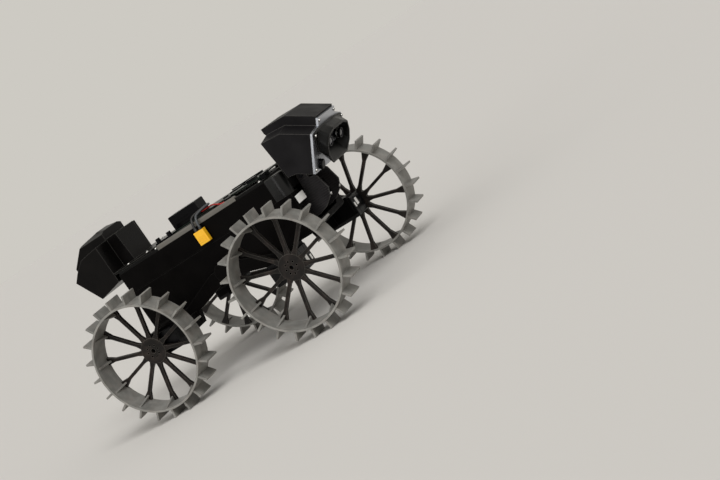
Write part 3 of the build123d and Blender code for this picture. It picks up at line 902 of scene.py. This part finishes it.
NODES_OF_FINISH: tuple[tuple[Finish, tuple[str, ...]], ...] = (
    (BLACK_PRINT, ("lower_hull", "upper_hull", "front_frame", "rocker", "nameplate_block")),
    (TAIL_PRINT, ("tail_housing",)),
    (COLUMN_PRINT, ("corner_column",)),
    (NECK_PRINT, ("neck_bracket",)),
    (BARREL_METAL, ("tilt_pin",)),
    (DECK_PRINT, ("deck_plate",)),
    (DUCT_VINYL, ("edge_duct",)),
    (BOARD_MASK, ("board_tray",)),
    (BOX_ABS, ("deck_box", "deck_socket", "deck_connectors", "round_sensor")),
    (SERVO_CASE, ("tilt_servo", "wheel_servo", "servo_horn")),
    (HEAD_PRINT, ("head_shell", "head_knuckle")),
    (HOOD_PRINT, ("lens_hood",)),
    (HEAD_SHEET, ("head_plate",)),
    (WHEEL_PRINT, ("wheel_rim",)),
    (SPOKE_PRINT, ("wheel_hub",)),
)


@dataclass
class Bodywork:
    """The CAD nodes, which take their finish from the start of their name."""

    nodes: dict[str, Piece]

    def dress(self) -> None:
        """Gives every CAD node that shows its finish."""
        for name, node in self.nodes.items():
            for finish, stems in NODES_OF_FINISH:
                if name.startswith(stems):
                    node.data.materials.clear()
                    node.data.materials.append(finish.material())
                    LOG.info("finish %s on %s", finish.name, name)


# head


@dataclass
class CameraHead:
    """Lenses and screws on the pitched head."""

    at: HeadPlace = HeadPlace()
    lens_pitch: float = 40.0
    lens_u: float = -17.5
    hood_flange: float = 2.0
    plate_screw: ButtonScrew = ButtonScrew(radius=2.0, height=1.5, socket=1.0)
    hood_screw: ButtonScrew = ButtonScrew(radius=1.9, height=1.5, socket=1.0)
    # y and u of each screw
    plate_screws: Pairs = ((-51.0, -46.0), (51.0, -46.0), (-27.5, 10.5), (27.5, 10.5))
    hood_screws: Pairs = ((-49.5, -3.2), (49.5, -3.2))
    # radius and height of each ring that a lens part is turned from
    barrel: Pairs = (
        *((8.0, 0.0), (8.0, 1.4), (7.4, 1.8), (6.3, 1.8), (6.3, 4.6), (5.8, 4.9), (5.8, 7.4)),
        *((6.4, 7.6), (6.4, 8.1), (6.1, 8.3), (6.4, 8.5), (6.4, 9.0), (6.1, 9.2), (6.4, 9.4)),
        *((6.4, 10.8), (6.2, 11.0), (5.4, 11.0), (4.4, 9.4), (4.2, 9.2), (0.1, 9.2)),
    )
    ring: Pairs = ((5.9, 5.1), (6.3, 5.3), (6.5, 6.2), (6.3, 7.1), (5.9, 7.3), (5.9, 5.1))
    glass: Pairs = ((4.35, 9.3), (4.35, 9.6), (3.6, 10.15), (2.6, 10.55), (1.4, 10.8), (0.1, 10.88))

    def build(self) -> None:
        """Builds the lenses and sets the screws."""
        self.lens_part("lens_barrels", self.barrel, 48, BARREL_METAL, "camera_barrels")
        self.lens_part("lens_rings", self.ring, 48, SCREW_STEEL)
        self.lens_part("lens_glass", self.glass, 40, LENS_GLASS, "camera_lenses")
        plate, flange = self.at.plate, self.at.plate + self.hood_flange
        self.plate_screw.set_in("head_plate_screws", self.seats(self.plate_screws, plate), "head")
        self.hood_screw.set_in("hood_screws", self.seats(self.hood_screws, flange), "head")

    def seats(self, places: Pairs, depth: float) -> list[Matrix]:
        """Gives seats that face out of the front plate.

        Args:
            places: The y and u of each seat.
            depth: How far out from the shell's front they lie.

        Returns:
            The seats.
        """
        return [seat(self.at.point(y, u, depth), self.at.out) for y, u in places]

    def lens_part(
        self, name: str, profile: Pairs, sides: int, finish: Finish, stands_for: str = ""
    ) -> None:
        """Turns one part of a lens and sets it on both lenses.

        Args:
            name: The piece's name.
            profile: Radius and height of each ring.
            sides: How many sides it has.
            finish: Its finish.
            stands_for: The CAD node that it replaces, if any.
        """
        places = tuple((side.value * self.lens_pitch / 2, self.lens_u) for side in Side)
        part = copies_at(turn_profile(name, profile, sides), name, self.seats(places, self.at.plate))
        if stands_for:
            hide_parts(stands_for)
        hand_over(part, finish, "head")


# servos and wheels

# length and width of each servo's labels, how far they lie in from the case's outer face, and how high
SERVO_LABELS: dict[Side, tuple[tuple[float, float, float, float], ...]] = {
    Side.RIGHT: ((7.6, 10.0, 16.0, -2.0), (4.6, 7.0, 27.5, -5.0)),
    Side.LEFT: ((7.6, 10.0, 18.5, 4.0), (4.6, 7.0, 27.5, 1.5)),
}


@dataclass
class WheelCorner:
    """Labels and screws on one wheel's servo and hub."""

    end: End
    side: Side
    hub_y: float = 131.0
    dish: float = 26.5
    rim_width: float = 32.5
    horn: float = 3.5  # from the servo's case to the hub
    servo_length: float = 46.5
    servo_height: float = 28.5
    nose: float = 11.25
    screw_inset: tuple[float, float] = (3.4, 3.2)
    servo_screw: ButtonScrew = ButtonScrew(radius=1.4, height=0.8, socket=0.6)
    hub_screw: ButtonScrew = ButtonScrew(radius=2.6, height=2.4, socket=1.3)

    @property
    def name(self) -> str:
        """The corner's name as the CAD has it."""
        return f"{self.end.name.lower()}_{self.side.name.lower()}"

    @property
    def hub_plane(self) -> float:
        """Distance of the hub's inner face from the middle plane."""
        return self.hub_y + self.dish - self.rim_width

    def build(self) -> None:
        """Builds the corner's labels and screws."""
        ahead, out = self.end.value, self.side.value
        case_out = self.hub_plane - self.horn
        nose_x = ahead * (WHEELBASE / 2 + self.nose)
        tail_x = ahead * (WHEELBASE / 2 + self.nose - self.servo_length)
        labels = []
        for length, width, inward, height in SERVO_LABELS[self.side]:
            on_nose = seat(place(nose_x, out * (case_out - inward), height), (ahead, 0, 0))
            labels.append(BlankLabel(length, width).model("servo_label", on_nose))
        hand_over(joined("servo_labels_" + self.name, labels), LABEL_FILM, "chassis")
        in_x, in_z = self.screw_inset
        seats = []
        for x in (nose_x - ahead * in_x, tail_x + ahead * in_x):
            for z in (-self.servo_height / 2 + in_z, self.servo_height / 2 - in_z):
                seats.append(seat(place(x, out * case_out, z), (0, out, 0)))
        self.servo_screw.set_in("servo_screws_" + self.name, seats, "chassis", BARREL_METAL)
        centre = [seat(place(ahead * WHEELBASE / 2, out * self.hub_plane, 0.0), (0, out, 0))]
        self.hub_screw.set_in("hub_screw_" + self.name, centre, "wheel_" + self.name, BARREL_METAL)


# hull trim


@dataclass(frozen=True)
class ScrewPairs:
    """Like screws in pairs across the hull, one pair at each x."""

    name: str
    screw: ButtonScrew
    xs: tuple[float, ...]
    half_width: float
    z: float
    facing: Triple = (0.0, 0.0, 1.0)

    def build(self) -> None:
        """Sets the screws in."""
        places = [place(x, side.value * self.half_width, self.z) for x in self.xs for side in Side]
        self.screw.set_in(self.name, [seat(point, self.facing) for point in places], "chassis")


@dataclass
class HullTrim:
    """Nameplate film, deck electronics and the screws on hull, tail and neck."""

    screws: tuple[ScrewPairs, ...] = (
        ScrewPairs("deck_screws", ButtonScrew(2.0, 1.6, 1.0), (104.0, -74.0), 54.5, DECK_TOP),
        ScrewPairs("tail_flange_screws", ButtonScrew(1.9, 1.5, 1.0), (-88.0, -122.0), 53.5, DECK_TOP + 2.5),
        ScrewPairs("neck_screws", ButtonScrew(2.0, 1.6, 1.0), (158.4,), 16.5, 41.0, (0.91, 0.0, -0.414)),
    )
    nameplate: BlankLabel = BlankLabel(27.2, 10.7)
    nameplate_at: Triple = (135.7, -46.0, 59.25)
    board_top: float = 107.0
    # x, y, length and width
    chips: tuple[tuple[float, float, float, float], ...] = (
        (40.0, 6.0, 16.0, 16.0),
        (66.0, -8.0, 12.0, 7.0),
        (34.0, -20.0, 7.0, 5.0),
    )
    chip_height: float = 1.6
    socket_row: Triple = (51.2, 5.2, 2.5)
    socket_row_at: tuple[float, float] = (48.13, 27.27)

    def build(self) -> None:
        """Builds the trim."""
        film = self.nameplate.model("nameplate_film", seat(place(*self.nameplate_at), (1, 0, 0)))
        hand_over(film, LABEL_FILM, "chassis")
        for pairs in self.screws:
            pairs.build()
        self.board_parts()

    def board_parts(self) -> None:
        """Builds the chips and the socket row on the deck's board."""
        chips = []
        for x, y, length, width in self.chips:
            chip = new_block("chip", (length, width, self.chip_height), round_mm=0.6)
            sink_top(chip, rim_mm=0.25, depth_mm=0.1)
            bake_place(chip, Matrix.Translation(place(x, y, self.board_top)))
            chips.append(chip)
        hand_over(joined("board_chips", chips), BOX_ABS, "chassis")
        row = new_block("socket_row", self.socket_row, round_mm=0.2)
        bake_place(row, Matrix.Translation(place(*self.socket_row_at, self.board_top)))
        hand_over(row, BOX_ABS, "chassis")


# cords


class FarEnd(Enum):
    """What a wire ends in."""

    PLUG = "plug"
    OBJECT = "object"


@dataclass
class Lead:
    """A round wire along a smooth line through the route's points."""

    name: str
    node: str
    finish: Finish
    slot: str
    radius: float
    length: float
    points: tuple[Triple, ...]
    far_end: FarEnd

    def build(self, with_pieces: Sequence[Piece] = ()) -> None:
        """Args:
            with_pieces: The separate pieces at its end. Not used.
        """
        data = bpy.data.curves.new(self.name, "CURVE")
        data.dimensions = "3D"
        data.bevel_depth = self.radius / MM_PER_M
        data.bevel_resolution = 5
        data.resolution_u = 16
        data.use_fill_caps = True
        spline = data.splines.new("NURBS")
        spline.points.add(len(self.points) - 1)
        for target, point in zip(spline.points, self.points):
            target.co = (*place(*point), 1.0)
        spline.order_u = 3
        spline.use_endpoint_u = True
        wire = bpy.data.objects.new(self.name, data)
        bpy.context.collection.objects.link(wire)
        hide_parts(self.node)
        hand_over(wire, self.finish, "chassis")


@dataclass
class PowerPlug:
    """The yellow two-pole plug that hangs on two leads, and the red wire on the deck."""

    x: float = 0.0
    y: float = -65.0
    top: float = 93.0
    size: Triple = (16.0, 8.0, 18.0)
    pitch: float = 7.2
    ribs: int = 4
    rib_size: Triple = (11.0, 0.35, 0.9)
    rib_foot: float = 3.0
    rib_pitch: float = 2.4
    sleeve: Pairs = ((2.3, 0.0), (2.3, 3.6), (2.0, 4.6), (1.75, 5.0), (1.3, 5.0))
    sleeve_sunk: float = 0.9
    box_front: float = -4.0
    lead_z: float = 112.5
    lead_radius: float = 1.6
    wire_radius: float = 0.9

    def build(self) -> None:
        """Builds the plug, its sleeves, the two leads and the red wire."""
        body = self.body()
        front, lead_z = self.box_front, self.lead_z
        # where each starts along the box, how far it reaches out and sways, and its length
        for colour, finish, sign, start, reach, sway, length in (
            ("black", WIRE_BLACK, -1, -21.0, 7.0, -2.0, 59.5),
            ("grey", WIRE_GREY, 1, -13.0, 14.0, 5.0, 71.9),
        ):
            x = self.x + sign * self.pitch / 2
            route = (
                (front, start, lead_z),
                (front + reach, start, lead_z),
                (self.x + sway, -46.0, lead_z - 0.3),
                (x, self.y, lead_z - 4.0),
                (x, self.y, self.top),
            )
            name, slot = "lead_" + colour, "wire_" + colour
            sleeve = self.sleeve_at(name + "_sleeve", x)
            lead = Lead(name, "power_" + name, finish, slot, self.lead_radius, length, route, FarEnd.PLUG)
            lead.build([body, sleeve])
        red = (
            (front, -24.5, 109.0),
            (front + 12.0, -24.5, 109.0),
            (20.0, -36.0, 110.0),
            (31.0, -44.5, 107.5),
            (38.0, -47.5, 104.5),
            (46.0, -47.5, 104.5),
        )
        radius, length = self.wire_radius, 57.6
        Lead("deck_wire_red", "red_wire", WIRE_RED, "wire_red", radius, length, red, FarEnd.OBJECT).build()

    def body(self) -> Piece:
        """Models the plug: a rounded block with a raised collar, and grip ribs on both broad faces.

        Returns:
            The plug.
        """
        block = new_block("plug_body", self.size, round_mm=1.2)
        sink_top(block, rim_mm=0.8, depth_mm=0.8)
        ribs = []
        for side in Side:
            for step in range(self.ribs):
                foot = (0, side.value * self.size[1] / 2, self.rib_foot + self.rib_pitch * step)
                ribs.append(new_block("rib", self.rib_size, centre=foot))
        plug = joined("plug_body", [block, *ribs])
        bake_place(plug, Matrix.Translation(place(self.x, self.y, self.top - self.size[2])))
        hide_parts("power_plug")
        return hand_over(plug, PLUG_NYLON, "chassis")

    def sleeve_at(self, name: str, x: float) -> Piece:
        """Turns the shrunk sleeve that closes one lead onto the plug.

        Args:
            name: The piece's name.
            x: Where it stands on the plug.

        Returns:
            The sleeve.
        """
        tube = turn_profile(name, self.sleeve, segments=24)
        bake_place(tube, Matrix.Translation(place(x, self.y, self.top - self.sleeve_sunk)))
        return hand_over(tube, WIRE_BLACK, "chassis")


# studio


@dataclass(frozen=True)
class Sun:
    """A broad sun, which lights the floor evenly to the horizon."""

    name: str
    power: float
    breadth: float  # degrees across, which softens its shadows
    come_from: Triple
    mirrored: bool  # whether gloss shows it

    def build(self) -> None:
        """Hangs the sun."""
        data = bpy.data.lights.new(self.name, "SUN")
        data.energy = self.power
        data.angle = math.radians(self.breadth)
        sun = bpy.data.objects.new(self.name, data)
        bpy.context.collection.objects.link(sun)
        sun.rotation_euler = Vector(self.come_from).to_track_quat("Z", "Y").to_euler()
        sun.visible_glossy = self.mirrored


@dataclass(frozen=True)
class Studio:
    """Pale floor, soft lamps and the photograph's camera."""

    floor_colour: str = "#d9d6d1"
    floor_size: float = 120.0  # metres
    ground_colour: str = "#cdcac3"
    sky_colour: str = "#f2f0ec"
    sky_light: float = 0.45
    suns: tuple[Sun, ...] = (
        Sun("key_sun", power=1.6, breadth=36.0, come_from=(0.48, -0.48, 0.73), mirrored=True),
        Sun("fill_sun", power=0.45, breadth=60.0, come_from=(-0.35, -0.75, 0.55), mirrored=False),
        Sun("low_sun", power=0.6, breadth=26.0, come_from=(-0.14, -0.98, 0.1), mirrored=True),
    )
    lens_mm: float = 75.0
    sensor_mm: float = 36.0
    eye: Triple = (961.42, -1693.90, 185.29)
    right: Triple = (0.77438, 0.30128, -0.55639)
    down: Triple = (-0.46384, -0.32778, -0.82305)
    forward: Triple = (-0.43034, 0.89543, -0.11408)

    def build(self) -> None:
        """Builds the camera first, then the floor, the lamps and the sky."""
        self.camera()
        self.floor()
        for sun in self.suns:
            sun.build()
        self.sky()

    def camera(self) -> None:
        """Makes the camera that the photograph was taken from."""
        data = bpy.data.cameras.new("photo_camera")
        data.lens = self.lens_mm
        data.sensor_width = self.sensor_mm
        data.clip_start = 0.05
        data.clip_end = 50.0
        camera = bpy.data.objects.new("photo_camera", data)
        bpy.context.collection.objects.link(camera)
        axes = Matrix((self.right, [-v for v in self.down], [-v for v in self.forward])).transposed()
        camera.matrix_world = Matrix.Translation(place(*self.eye)) @ axes.to_4x4()
        bpy.context.scene.camera = camera

    def floor(self) -> None:
        """Lays a wide matt floor that meets a background of its own brightness far off."""
        clear_bench()
        bpy.ops.mesh.primitive_plane_add(size=self.floor_size, location=(0, 0, 0))
        floor = bpy.context.active_object
        floor.name = "floor_sheet"
        paper = Finish("studio_paper", self.floor_colour, roughness=1.0, specular=0.0)
        floor.data.materials.append(paper.material())

    def sky(self) -> None:
        """Gives the world a pale ground for what is seen, and a dimmer even light for the rest."""
        world = bpy.data.worlds.new("even_sky")
        world.use_nodes = True
        tree = world.node_tree
        seen = tree.nodes["Background"]
        feed(seen, {"Color": linear(self.ground_colour), "Strength": 1.0})
        dim = add_node(tree, "Background", {"Color": linear(self.sky_colour), "Strength": self.sky_light})
        path = add_node(tree, "LightPath")
        any_seen = path.outputs["Is Camera Ray"]
        for ray in ("Is Glossy Ray", "Is Transmission Ray"):
            either = add_node(tree, "Math", {0: any_seen, 1: path.outputs[ray]}, operation="MAXIMUM")
            any_seen = either.outputs["Value"]
        ends = {0: any_seen, 1: dim.outputs["Background"], 2: seen.outputs["Background"]}
        mixed = add_node(tree, "MixShader", ends)
        feed(tree.nodes["World Output"], {"Surface": mixed.outputs["Shader"]})
        bpy.context.scene.world = world


def main() -> None:
    """Builds the rover's looks in order."""
    logging.basicConfig(level=logging.INFO, format="%(name)s: %(message)s")
    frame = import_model()
    bpy.context.view_layer.update()
    bpy.context.scene.view_settings.view_transform = "Standard"
    Studio().build()
    PowerPlug().build()
    Bodywork(frame["nodes"]).dress()
    CameraHead().build()
    for end in End:
        for side in Side:
            WheelCorner(end, side).build()
    HullTrim().build()
    clear_bench()
    bpy.context.view_layer.update()


if __name__ == "__main__":
    main()
